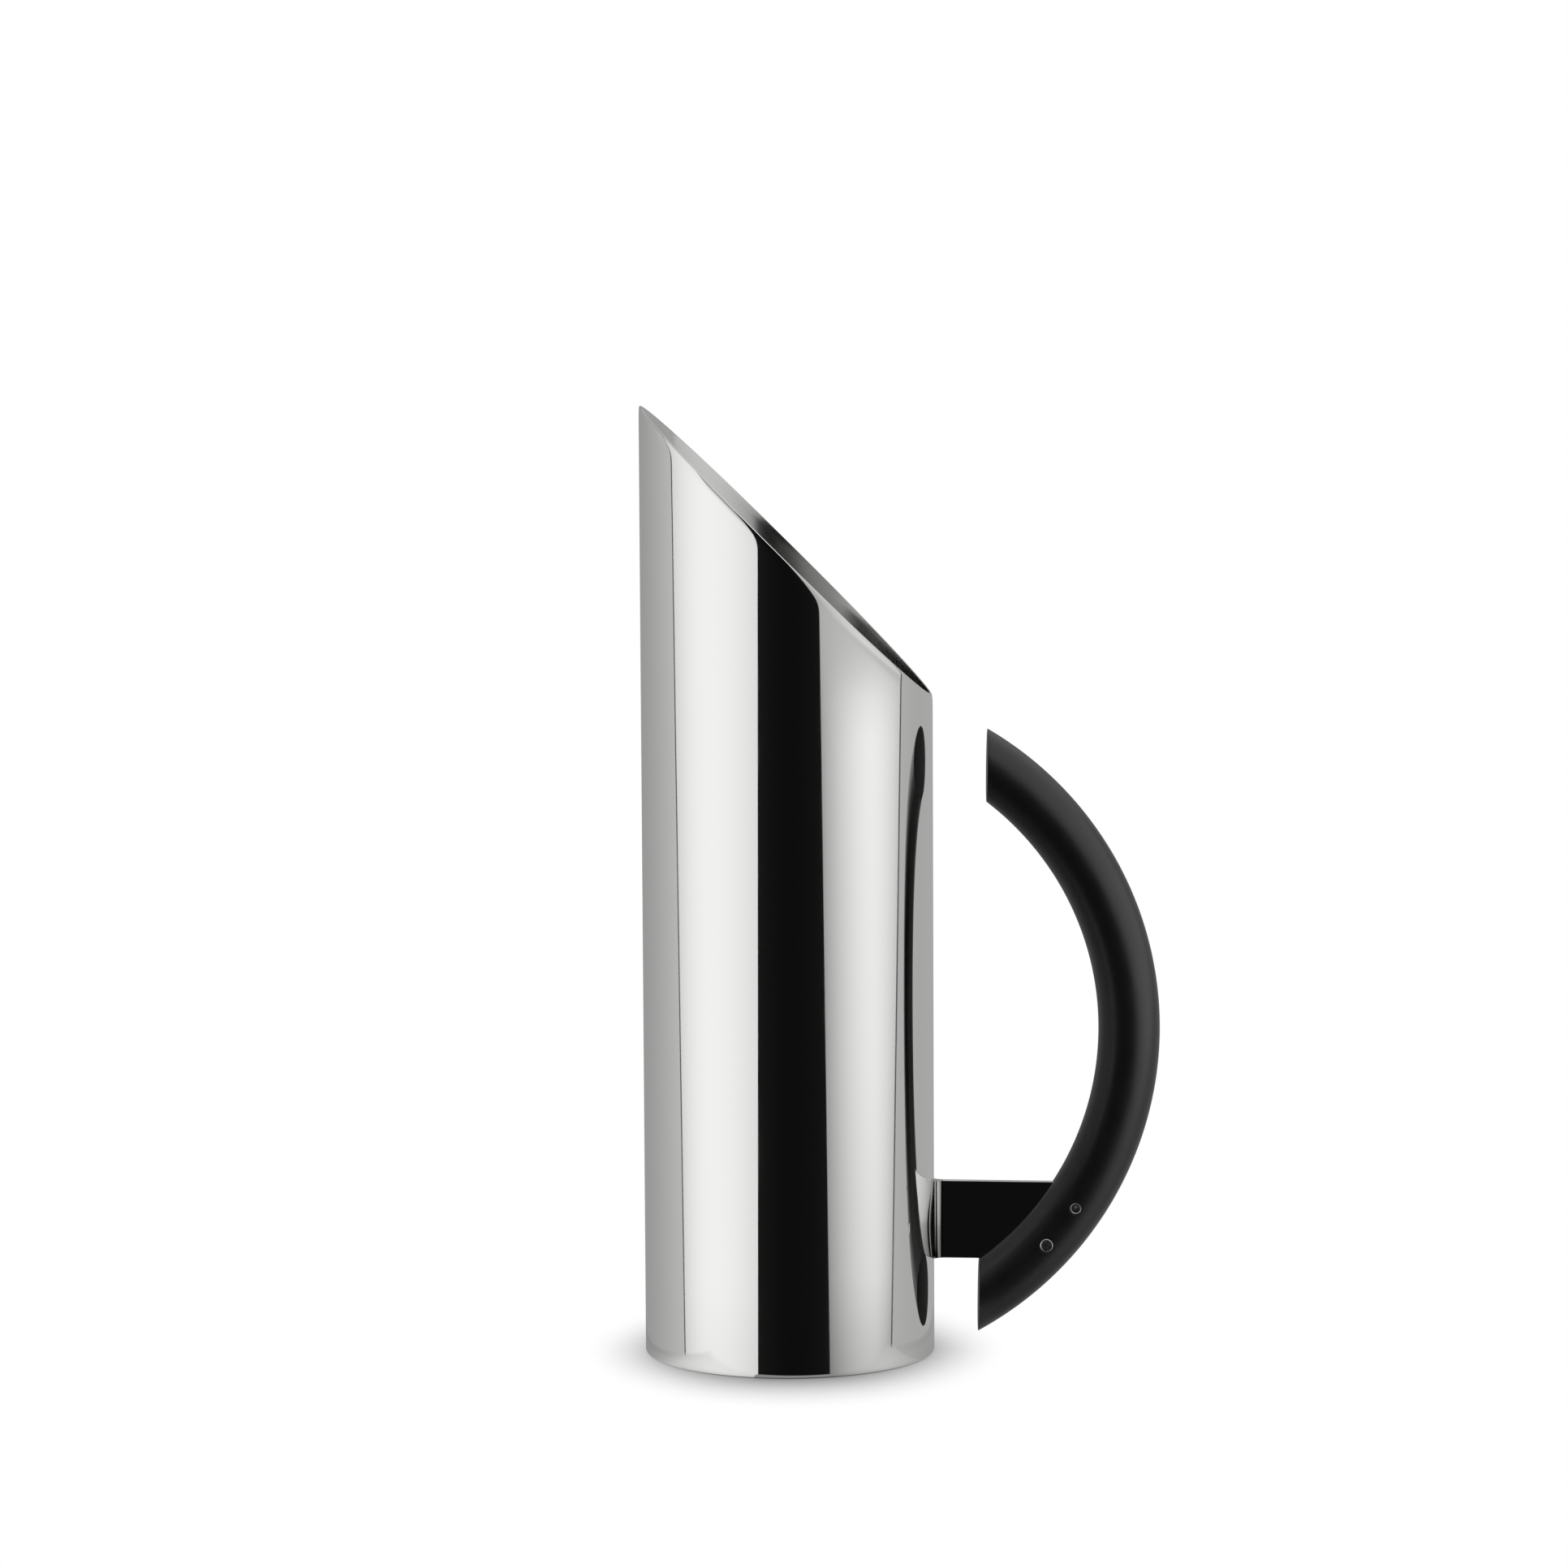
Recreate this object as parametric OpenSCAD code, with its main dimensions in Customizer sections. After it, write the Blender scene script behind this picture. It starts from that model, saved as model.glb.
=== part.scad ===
// Water jug: a straight steel tube with a slanted mouth and an open C-shaped side handle.
// A flat base disc is welded into the foot of the tube, and one upright plate to its side.
// The plate enters a slot in the round black grip, where a sleeve, its screw and a dowel hold it.
// +Z is up and +X points from the tube to the handle, so the spout tip lies at -X.
// The origin is on the axis of the tube, on the underside of the base.
// The plate and the grip share a frame of their own, centred on the arc of the grip.

/* [Tube] */
// Outer diameter of the tube
tube_d = 85; // [70:1:110]
// Thickness of the tube's sheet
tube_wall = 1; // [0.8:0.1:2]
// Height of the spout tip above the table
spout_tip_h = 278; // [230:0.1:340]
// Slope of the mouth against the horizontal, in degrees
mouth_slope = 45; // [30:1:50]
// Radius of the polished outer edge at the foot
foot_edge_r = 0.8; // [0.3:0.1:1]

/* [Lip] */
// How far the outer face turns in at the mouth
lip_turn = 0.25; // [0.1:0.05:0.6]
// Width of the turned band, square to the plane of the mouth
lip_band = 3.5; // [2:0.5:12]
// Power of the band's curve: a higher one keeps the turn nearer to the edge
lip_power = 4; // [2:1:5]

/* [Base] */
// Thickness of the base disc
base_t = 1.5; // [0.8:0.1:3]
// Gap at a welded seam
weld_gap = 0.05; // [0.02:0.01:0.1]

/* [Grip] */
// Radius of the grip's centreline
arc_r = 93.4; // [85:0.1:105]
// Diameter of the grip's round section
grip_d = 18; // [14:0.5:22]
// Clear gap for the fingers between the tube and the middle of the grip
finger_gap = 48.3; // [38:0.1:55]
// Height of the grip's arc centre above the table
arc_centre_h = 95.2; // [92:0.1:120]
// Gap between the tube and the sawn ends of the grip, before the lean
end_gap = 14.4; // [8:0.1:22]
// Lean of the plate and the grip about the arc centre, in degrees
handle_lean = 1; // [0:0.1:2]

/* [Bracket plate] */
// Thickness of the plate
plate_t = 2; // [1.5:0.1:3]
// Height of the plate
plate_h = 23.1; // [18:0.1:26]
// How far the plate reaches past the centreline of the grip
plate_reach = 5; // [4:0.1:6]
// Radius of the ground weld where the plate meets the tube
weld_r = 2.8; // [1:0.1:4]
// Step between the inner corner of the grip's lower end and the plate's lower edge
plate_step = 0.2; // [0.2:0.1:2]
// Clearance between the plate and the walls of its slot
slot_clear = 0.1; // [0.05:0.01:0.2]

/* [Fasteners] */
// Diameter of the dowel
dowel_d = 4; // [3:0.1:4.5]
// Angle of the dowel on the arc, below its level radius, in degrees
dowel_angle = 41.5; // [40.5:0.1:42.5]
// Diameter of the sleeve
sleeve_d = 3.6; // [3.4:0.1:4.2]
// Diameter of the sleeve's bore
sleeve_bore_d = 2.6; // [2.5:0.05:2.9]
// Angle of the sleeve on the arc, below its level radius, in degrees
sleeve_angle = 33; // [31.5:0.1:34]
// How far the sleeve runs behind the plate
sleeve_tail = 2; // [1:0.1:3]
// Diameter of the screw's shank
screw_d = 2.5; // [2:0.05:2.5]
// Diameter of the screw's head
screw_head_d = 5; // [4:0.1:6]
// Height of the screw's head
screw_head_h = 1.6; // [1.2:0.1:2.5]
// Depth at which the tip of the screw shows in the mouth of the sleeve
screw_tip_depth = 3; // [2:0.1:5]
// Width across flats of the screw's hexagon socket
socket_af = 2; // [1.3:0.1:2.2]
// Depth of the screw's hexagon socket
socket_depth = 1; // [0.6:0.1:1.1]
// Distance from the fasteners' ends to the crown of the grip
end_sink = 0.15; // [0.1:0.05:0.4]
// Chamfer on the fasteners' ends
end_chamfer = 0.25; // [0.1:0.05:0.4]
// Radial clearance round the fasteners
bore_clear = 0.05; // [0.03:0.01:0.1]

/* [Hidden] */
$fn = 96;
// Overrun of every cut past the face that it leaves
cut_over = 1;
// Bands that turn the lip in, and sides of the slices they are drawn between
lip_steps = 3;
lip_sides = 72;
// Thickness of those slices
slice_t = 0.01;

tube_r = tube_d / 2;
bore_r = tube_r - tube_wall;
// Height at which the plane of the mouth crosses the tube's axis
mouth_h = spout_tip_h - (tube_r - lip_turn) * tan(mouth_slope);
// A square this size covers the tube on any slanted plane of the mouth
mouth_span = 2 * spout_tip_h;

grip_r = grip_d / 2;
arc_inner_r = arc_r - grip_r;
// Arc centre of the grip, from the tube's axis
arc_centre_x = tube_r + finger_gap - arc_inner_r;
// Sawn end plane of the grip and the plate's edges, from the arc centre
end_x = tube_r + end_gap - arc_centre_x;
plate_low_z = plate_step - sqrt(pow(arc_inner_r, 2) - pow(end_x, 2));
plate_end_r = arc_r + plate_reach;
// Centre of the ground weld's hollow, from the tube's axis
weld_centre_y = plate_t / 2 + weld_r;
weld_centre_x = sqrt(pow(tube_r + weld_r, 2) - pow(weld_centre_y, 2));
// Faces of the fasteners, from the middle plane of the grip
fastener_y = grip_r - end_sink;
screw_seat_y = fastener_y - screw_head_h;
sleeve_end_y = plate_t / 2 + sleeve_tail;

steel = [0.78, 0.78, 0.77];
dark_steel = [0.45, 0.45, 0.46];
black = [0.09, 0.09, 0.1];

// Puts its children in the leaning frame of the plate and the grip
module handle_frame() {
    translate([arc_centre_x, 0, arc_centre_h])
        rotate([0, handle_lean, 0])
            children();
}

// Stands a drawing up in the plane of the handle, with half the thickness to each side
module upright(thickness) {
    rotate([90, 0, 0])
        linear_extrude(thickness, center = true)
            children();
}

// Puts a round piece on the arc at an angle below its level radius, with its axis along Y
module on_arc(angle) {
    rotate([0, angle, 0])
        translate([arc_r, 0, 0])
            children();
}

// Round bar along Y between two places
module bar(d, from_y, to_y) {
    translate([0, from_y, 0])
        rotate([-90, 0, 0])
            cylinder(d = d, h = to_y - from_y);
}

// Round bar along Y with both end edges chamfered
module chamfered_bar(d, from_y, to_y) {
    length = to_y - from_y;
    translate([0, from_y, 0])
        rotate([-90, 0, 0])
            rotate_extrude()
                polygon([
                    [0, 0],
                    [d / 2 - end_chamfer, 0],
                    [d / 2, end_chamfer],
                    [d / 2, length - end_chamfer],
                    [d / 2 - end_chamfer, length],
                    [0, length]
                ]);
}

// Everything below a plane parallel to the mouth, the given distance below it
module below_mouth(depth) {
    translate([0, 0, mouth_h])
        rotate([0, mouth_slope, 0])
            translate([-mouth_span, -mouth_span / 2, -mouth_span - depth])
                cube([2 * mouth_span, mouth_span, mouth_span]);
}

// How far the lip has turned in at a share of its band, counted up from the band's foot
function lip_inset(share) = lip_turn * pow(share, lip_power);

// Thin slanted slice of the tube's outline, at a share of the band
module lip_slice(share) {
    depth = lip_band * (1 - share);
    slice_r = (tube_r - lip_inset(share)) / cos(180 / lip_sides);
    difference() {
        intersection() {
            cylinder(r = slice_r, h = spout_tip_h + tube_r, $fn = lip_sides);
            below_mouth(depth);
        }
        below_mouth(depth + slice_t);
    }
}

// Outline of the tube with its lip turned in
module tube_outline() {
    intersection() {
        cylinder(r = tube_r, h = spout_tip_h + tube_r);
        below_mouth(lip_band);
    }
    for (step = [0 : lip_steps - 1])
        hull() {
            lip_slice(step / lip_steps);
            lip_slice((step + 1) / lip_steps);
        }
}

// Ring that is cut away to round the outer edge of the foot
module foot_edge_cut() {
    rotate_extrude()
        difference() {
            translate([tube_r - foot_edge_r, -cut_over])
                square([foot_edge_r + cut_over, foot_edge_r + cut_over]);
            translate([tube_r - foot_edge_r, foot_edge_r])
                circle(foot_edge_r);
        }
}

module body_tube() {
    color(steel)
        difference() {
            intersection() {
                tube_outline();
                cylinder(r = tube_r, h = spout_tip_h);
            }
            translate([0, 0, -cut_over])
                cylinder(r = bore_r, h = spout_tip_h + 2 * cut_over);
            foot_edge_cut();
        }
}

module base_disc() {
    color(steel)
        cylinder(r = bore_r - weld_gap, h = base_t);
}

// Side view of the plate past the tube, grown by a clearance for its slot
module plate_side(grow) {
    intersection() {
        translate([tube_r - arc_centre_x - weld_r, plate_low_z - grow])
            square([plate_end_r + tube_r, plate_h + 2 * grow]);
        circle(plate_end_r + grow);
    }
}

// Plan of the two ground welds beside the plate, hollow towards the corner
module weld_plan() {
    difference() {
        translate([0, -weld_centre_y])
            square([weld_centre_x, 2 * weld_centre_y]);
        for (side = [-1, 1])
            translate([weld_centre_x, side * weld_centre_y])
                circle(weld_r);
    }
}

module bracket_plate() {
    color(steel)
        difference() {
            union() {
                handle_frame()
                    upright(plate_t)
                        plate_side(0);
                intersection() {
                    linear_extrude(spout_tip_h)
                        weld_plan();
                    handle_frame()
                        upright(2 * weld_centre_y)
                            plate_side(0);
                }
            }
            translate([0, 0, -cut_over])
                cylinder(r = tube_r + weld_gap, h = spout_tip_h + 2 * cut_over);
            handle_frame() {
                on_arc(sleeve_angle)
                    bar(sleeve_d + 2 * bore_clear, -plate_t, plate_t);
                on_arc(dowel_angle)
                    bar(dowel_d + 2 * bore_clear, -plate_t, plate_t);
            }
        }
}

module grip() {
    color(black)
        handle_frame()
            difference() {
                intersection() {
                    rotate([90, 0, 0])
                        rotate_extrude()
                            translate([arc_r, 0])
                                circle(grip_r);
                    translate([end_x, -grip_d, -arc_r - grip_d])
                        cube([arc_r + grip_d, 2 * grip_d, 2 * (arc_r + grip_d)]);
                }
                upright(plate_t + 2 * slot_clear)
                    plate_side(slot_clear);
                on_arc(dowel_angle)
                    bar(dowel_d + 2 * bore_clear, -grip_d, grip_d);
                on_arc(sleeve_angle) {
                    bar(sleeve_d + 2 * bore_clear, -grip_d, sleeve_end_y + bore_clear);
                    bar(screw_d + 2 * bore_clear, 0, grip_d);
                    bar(screw_head_d + 2 * bore_clear, screw_seat_y, grip_d);
                }
            }
}

module clamp_sleeve() {
    color(steel)
        handle_frame()
            on_arc(sleeve_angle)
                difference() {
                    chamfered_bar(sleeve_d, -fastener_y, sleeve_end_y);
                    bar(sleeve_bore_d, -grip_d, grip_d);
                }
}

module clamp_screw() {
    color(dark_steel)
        handle_frame()
            on_arc(sleeve_angle)
                difference() {
                    union() {
                        bar(screw_d, screw_tip_depth - fastener_y, screw_seat_y + end_chamfer);
                        chamfered_bar(screw_head_d, screw_seat_y, fastener_y);
                    }
                    translate([0, fastener_y - socket_depth, 0])
                        rotate([-90, 0, 0])
                            cylinder(d = socket_af / cos(30), h = socket_depth + cut_over, $fn = 6);
                }
}

module dowel() {
    color(steel)
        handle_frame()
            on_arc(dowel_angle)
                chamfered_bar(dowel_d, -fastener_y, fastener_y);
}

body_tube();
base_disc();
bracket_plate();
grip();
clamp_sleeve();
clamp_screw();
dowel();
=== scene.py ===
# Water jug: a straight polished steel tube with a slanted mouth, and an open C-shaped black side handle.
# The frame gives the places and the sizes, and fine meshes with their own finishes stand for its solids.
import math

import bmesh
import bpy
from mathutils import Matrix, Vector


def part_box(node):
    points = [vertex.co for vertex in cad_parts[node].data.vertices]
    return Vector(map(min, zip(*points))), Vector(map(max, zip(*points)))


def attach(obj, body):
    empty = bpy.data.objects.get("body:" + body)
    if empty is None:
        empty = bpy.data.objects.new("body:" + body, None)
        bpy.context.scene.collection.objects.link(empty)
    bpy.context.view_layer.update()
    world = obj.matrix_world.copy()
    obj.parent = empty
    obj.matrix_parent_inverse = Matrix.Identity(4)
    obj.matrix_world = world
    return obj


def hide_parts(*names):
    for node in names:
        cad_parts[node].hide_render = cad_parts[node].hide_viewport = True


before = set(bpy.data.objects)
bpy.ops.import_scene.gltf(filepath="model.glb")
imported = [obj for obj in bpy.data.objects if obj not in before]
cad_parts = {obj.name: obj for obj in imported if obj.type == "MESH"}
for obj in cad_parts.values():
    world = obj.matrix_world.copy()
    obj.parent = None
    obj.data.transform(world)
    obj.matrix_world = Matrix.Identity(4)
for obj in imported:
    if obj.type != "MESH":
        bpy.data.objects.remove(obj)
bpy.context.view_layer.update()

MM = 0.001

# Camera, at the photograph's viewing angle
CAMERA_PLACE = Vector((10.65, -1714.65, 354.6)) * MM
CAMERA_SENSOR = 36
CAMERA_LENS = 135.74
CAMERA_NEAR = 0.05
CAMERA_FAR = 50
CAMERA_DOWN = math.radians(6.231)
CAMERA_HEADING = math.radians(0.387)
CAMERA_ROLL = math.radians(-0.309)

# Tube, from its box in the frame and the wall's own sizes
TUBE_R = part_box("body_tube")[1].y
TIP_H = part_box("body_tube")[1].z
WALL = 1 * MM
BORE_R = TUBE_R - WALL
MOUTH_SLOPE = math.radians(45)
LIP_TURN = 0.25 * MM
LIP_FADE = 0.65 * MM
LIP_BAND = 4.5 * MM
RIM_OUTER_R = 0.25 * MM
RIM_INNER_R = 0.15 * MM
FOOT_EDGE_R = 0.8 * MM
MOUTH_H = TIP_H - (TUBE_R - LIP_TURN) * math.tan(MOUTH_SLOPE)

# Shallow dent in the tube, round the root of the plate
DENT_DEPTH = 0.6 * MM
DENT_HALF_W = 18 * MM
DENT_HALF_H = 13 * MM
DENT_Z = 38 * MM

# Fineness of the tube: guard rows keep the flat wall's shading true beside the foot's round edge, and the
# shares place the rows of the plain wall above the dent and of the bore
TUBE_COLUMNS = 360
RIM_STEPS = 8
LIP_ROWS = 26
LIP_CROWDING = 1.6
DENT_ROWS = 40
GUARD = 0.25 * MM
WALL_SHARES = (0.3, 0.6, 0.97)
BORE_SHARES = (0.01, 0.1, 0.4, 0.7, 0.98, 1)

# Base disc
DISC_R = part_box("base_disc")[1].x
BASE_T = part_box("base_disc")[1].z
DISC_EDGE_R = 0.12 * MM
DISC_COLUMNS = 180

# Grip: an arc in a frame that leans about the arc's centre
HANDLE_LEAN = math.radians(1)
GRIP_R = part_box("grip")[1].y
ARC_R = 93.4 * MM
ARC_CENTRE = Vector((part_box("grip")[1].x - ARC_R - GRIP_R, 0, 95.2 * MM))
GRIP_END_X = 50.5 * MM
GRIP_EDGE_R = 0.15 * MM
GRIP_EDGE_STEPS = 4
GRIP_ALONG = 220
GRIP_ROUND = 96
handle_frame = Matrix.Translation(ARC_CENTRE) @ Matrix.Rotation(HANDLE_LEAN, 4, "Y")

# Bracket plate, in the same leaning frame, with a weld on both sides of its root, smoothed by grinding and
# darkened with painted shade
PLATE_T = 2 * MM
PLATE_H = 23.1 * MM
PLATE_LOW = -67.42 * MM
PLATE_HIGH = PLATE_LOW + PLATE_H
PLATE_END_R = ARC_R + 5 * MM
PLATE_END_CUT = 0.0265 * MM
PLATE_END_H = 0.5 * MM
PLATE_MIDDLE_X = 60 * MM
PLATE_EDGE_R = 0.2 * MM
PLATE_END_STEPS = 8
CORNER_STEPS = 4
WELD_R = 2.8 * MM
WELD_GAP = 2 * MM
WELD_STEPS = 14
ROOT_DEPTH = 0.15 * MM
ROOT_FLARE = 0.1 * MM

# Slot for the plate in the grip
SLOT_CLEAR = 0.1 * MM
SLOT_MOUTH_X = 30 * MM
SLOT_STEPS = 16

# Fasteners, on the arc of the grip, with their axes across it
FASTENER_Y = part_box("dowel")[1].y
FASTENER_COLUMNS = 64
END_CHAMFER = 0.25 * MM
EDGE_R = 0.06 * MM
DOWEL_D = 4 * MM
DOWEL_ANGLE = math.radians(41.5)
DOWEL_RIM_R = 0.5 * MM
DOWEL_RIM_STEPS = 6
SLEEVE_D = 3.6 * MM
SLEEVE_BORE_D = 2.6 * MM
SLEEVE_END_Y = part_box("clamp_sleeve")[1].y
SLEEVE_ANGLE = math.radians(33)
SLEEVE_LEAD = 0.12 * MM
SLEEVE_EDGE_R = 0.05 * MM
SCREW_D = 2.5 * MM
SCREW_TIP_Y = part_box("clamp_screw")[0].y
SCREW_HEAD_D = 5 * MM
SCREW_HEAD_H = 1.6 * MM
SCREW_HEAD_EDGE_R = 0.12 * MM
SCREW_COLUMNS = 72
DIMPLE_R = 0.55 * MM
DIMPLE_EDGE = 0.1 * MM
DIMPLE_DEPTH = 0.35 * MM
SOCKET_AF = 2 * MM
SOCKET_RIM_R = 1.24 * MM
SOCKET_DEPTH = 1 * MM
SOCKET_POINT = 0.3 * MM

# Bores for the fasteners, whose mouths flare at the skin of the grip
BORE_CLEAR = 0.05 * MM
BORE_FLARE = 0.12 * MM
CUT_Y = GRIP_R + 1 * MM

# Studio: a ring of upright panels round the jug that only its reflections and its light see
RING_R = 2200 * MM
RING_LOW = -2200 * MM
PANEL_TOP = 1300 * MM
PANEL_COLUMNS = 24
UPPER_H = 600 * MM
LIGHT_TOP = 150 * MM
LEAN_LOW = -450 * MM
LEAN_TOP = 280 * MM

# Edges of the panels: degrees from the front, positive to the right, and degrees of lean a metre of height
BLACK_LEFT = (-22.1, 6.4)
BLACK_RIGHT = (26.6, -11.2)
JOINT_LEFT = (-97.2, -14.6)
JOINT_LEFT_FAR = (-98.5, -14.6)
JOINT_RIGHT = (100.6, 30.4)
JOINT_RIGHT_FAR = (102, 30.4)
BACK_LEFT = (-180, 0)
BACK_RIGHT = (180, 0)

# Softboxes: the angle of each core and how fast it falls off, the column where the left one is parted,
# and the grip's own share of the right one, from a thin veil in front of it
LEFT_CORE = -63
LEFT_POWER = 2
RIGHT_CORE = 70
RIGHT_POWER = 1.7
LEFT_PARTING = 13
GRIP_SHARE = 0.95
VEIL = 0.02
VEIL_GAP = 10 * MM

# Levels of the softboxes: glows at the first edge, the core and the last edge, heights with a share of
# these, and heights with glows of their own
LEFT_GLOWS = (0.82, 1.12, 0.9)
LEFT_STEPS = (
    (RING_LOW, 0.5), (-600 * MM, 0.8), (LEAN_LOW, 0.93), (-400 * MM, 1), (LIGHT_TOP, 1), (LEAN_TOP, 0.95),
)
LEFT_UPPER_BACK = (0.74, 1.01, 0.81)
LEFT_UPPER_FRONT = (0.33, 0.45, 0.36)
RIGHT_GLOWS = (0.44, 1.1, 0.72)
RIGHT_STEPS = (
    (RING_LOW, 0.4), (-600 * MM, 0.5), (LEAN_LOW, 0.62), (-390 * MM, 0.85), (-250 * MM, 0.95), (-35 * MM, 1),
)
RIGHT_WAIST = (
    (-10 * MM, (0.47, 1, 0.7)), (8 * MM, (0.5, 0.82, 0.65)), (25 * MM, (0.53, 0.7, 0.61)),
    (55 * MM, (0.55, 0.64, 0.6)), (100 * MM, (0.5, 0.72, 0.65)), (LIGHT_TOP, (0.46, 0.84, 0.7)),
    (LEAN_TOP, (0.46, 0.84, 0.7)), (UPPER_H, (0.44, 0.77, 0.72)), (PANEL_TOP, (0.44, 0.77, 0.72)),
)

# Panels that are the same at each height: name, edges, core angle, glows at the first edge, core and last
# edge, and fall-off
EVEN_PANELS = (
    ("front_flag", (BLACK_LEFT, BLACK_RIGHT), 2, (0.011, 0.005, 0.009), 2),
    ("left_joint", (JOINT_LEFT_FAR, JOINT_LEFT), -98, (0.1, 0.1, 0.1), 1),
    ("right_joint", (JOINT_RIGHT, JOINT_RIGHT_FAR), 101, (0.1, 0.1, 0.1), 1),
    ("left_wall", (BACK_LEFT, JOINT_LEFT_FAR), -180, (0.34, 0.34, 0.6), 1.8),
    ("right_wall", (JOINT_RIGHT_FAR, BACK_RIGHT), 140, (0.53, 0.47, 0.34), 2),
)

# Painted reflection of a pale floor round the foot: glowing sheets that only the reflections see, with
# painted light and shade
PAINTED_FLOOR_LEFT = 55.5 * MM
PAINTED_FLOOR_RIGHT = 67.5 * MM
PAINTED_FLOOR_FRONT = -45.8 * MM
PAINTED_FLOOR_SLANT = 0.1
PAINTED_FLOOR_BACK = 60 * MM
PAINTED_FLOOR_HOLE = 41 * MM
PAINTED_FLOOR_COLUMNS = 40
# Shares of the way out with their strengths: painted shade, dimmer next to the foot
PAINTED_FLOOR_SHADE_RINGS = ((0, 0.7), (0.15, 0.9), (0.4, 1), (0.75, 1), (1, 1))

# Sectors of the painted floor reflection: name, first, last and core angle, glows at these (first, core,
# last), and fall-off; the glows are painted light and shade of the floor
PAINTED_FLOOR_SECTORS = (
    ("table_left_back", -180, -62, -180, (0.3, 0.3, 0.62), 8),
    ("table_left", -62, -14, -36, (0.62, 0.96, 0.82), 2),
    ("table_front", -14, 17, 0, (0.3, 0.3, 0.3), 1),
    ("table_right", 17, 66, 47, (0.28, 0.66, 0.55), 2),
    ("table_right_back", 66, 180, 180, (0.5, 0.36, 0.36), 6),
)

# Pale floor, which turns white for the camera over an oval band round the jug
FLOOR_R = 6000 * MM
FLOOR_DROP = 0.2 * MM
FLOOR_STEPS = 96
FLOOR_COLOUR = (0.92, 0.92, 0.92, 1)
FLOOR_ROUGHNESS = 0.9
# Reach of the painted shade that ambient occlusion lays on the floor's colour next to the jug
PAINTED_SHADE_REACH = 25 * MM
FADE_OVAL = (1.35, 1, 1)
FADE_SHIFT = (-2 * MM, 0, 0)
FADE_NEAR = 35 * MM
FADE_FAR = 85 * MM

# World: strength at steps from straight down (-1) to straight up (1), and its share from left to right
WORLD_STEPS = ((-0.6, 0.3), (-0.35, 0.06), (-0.1, 0.06), (0.1, 1))
WORLD_SIDE = 0.7
WORLD_LEFT = 0.22
WORLD_RIGHT = 1.15


# Helpers for meshes


def closed_mesh(name, vertices, faces):
    """Mesh of a closed form, whose faces all look outwards."""
    mesh = bpy.data.meshes.new(name)
    mesh.from_pydata([tuple(v) for v in vertices], [], faces)
    bm = bmesh.new()
    bm.from_mesh(mesh)
    bmesh.ops.recalc_face_normals(bm, faces=bm.faces)
    bm.to_mesh(mesh)
    bm.free()
    return mesh


def add_object(name, mesh):
    piece = bpy.data.objects.new(name, mesh)
    bpy.context.scene.collection.objects.link(piece)
    return piece


def finish_piece(name, mesh, node, sharp_deg=35):
    """Makes a smooth-shaded piece that rides on the jug and stands for a node of the frame."""
    mesh.shade_smooth()
    mesh.set_sharp_from_angle(angle=math.radians(sharp_deg))
    piece = add_object(name, mesh)
    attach(piece, "root")
    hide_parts(node)
    return piece


def on_circle(radius, turn, height):
    return Vector((radius * math.cos(turn), radius * math.sin(turn), height))


def band_faces(columns, rows, closed):
    """Faces between columns of points that each go round; an open band has a face over each end."""
    faces = []
    for c in range(columns if closed else columns - 1):
        here = c * rows
        there = (c + 1) % columns * rows
        for r in range(rows):
            n = (r + 1) % rows
            faces.append((here + r, there + r, there + n, here + n))
    if not closed:
        faces.append(tuple(range(rows)))
        faces.append(tuple(reversed(range((columns - 1) * rows, columns * rows))))
    return faces


def fillet(corner, back, ahead, radius, steps):
    """Points of an arc that rounds a corner of an outline between the directions back and ahead of it."""
    back = back.normalized()
    ahead = ahead.normalized()
    half = back.angle(ahead) / 2
    centre = corner + (back + ahead).normalized() * (radius / math.sin(half))
    start = corner + back * (radius / math.tan(half)) - centre
    end = corner + ahead * (radius / math.tan(half)) - centre
    turn = start.angle(end)
    points = []
    for k in range(steps + 1):
        share = k / steps
        blend = start * math.sin((1 - share) * turn) + end * math.sin(share * turn)
        points.append(centre + blend / math.sin(turn))
    return points


def rounded(points, radii, steps=4):
    """Outline of (radius, height) points with a fillet at each inner corner that has a radius."""
    outline = [points[0]]
    for i in range(1, len(points) - 1):
        corner = Vector(points[i])
        if radii[i]:
            back = Vector(points[i - 1]) - corner
            ahead = Vector(points[i + 1]) - corner
            outline += [tuple(p) for p in fillet(corner, back, ahead, radii[i], steps)]
        else:
            outline.append(points[i])
    outline.append(points[-1])
    return outline


def turned_mesh(name, outline, columns, place=Matrix.Identity(4)):
    """Turns an outline of (radius, height) points round its axis; a point on the axis becomes one vertex."""
    vertices = []
    rings = []
    for radius, height in outline:
        count = columns if radius else 1
        rings.append(list(range(len(vertices), len(vertices) + count)))
        for c in range(count):
            vertices.append(place @ on_circle(radius, 2 * math.pi * c / columns, height))
    faces = []
    for low, high in zip(rings, rings[1:]):
        for c in range(columns):
            d = (c + 1) % columns
            corners = [low[c % len(low)], low[d % len(low)], high[d % len(high)], high[c % len(high)]]
            faces.append(tuple(dict.fromkeys(corners)))
    return closed_mesh(name, vertices, faces)


# Helpers for materials

NOISE_LOW = 0.3
NOISE_HIGH = 0.7


def set_values(node, **values):
    """Sets sockets by name, with an underscore for a space."""
    for key, value in values.items():
        node.inputs[key.replace("_", " ")].default_value = value


def add_node(nodes, kind, **values):
    node = nodes.new(kind)
    set_values(node, **values)
    return node


def new_material(name):
    mat = bpy.data.materials.new(name)
    mat.use_nodes = True
    return mat, mat.node_tree.nodes, mat.node_tree.links


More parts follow.
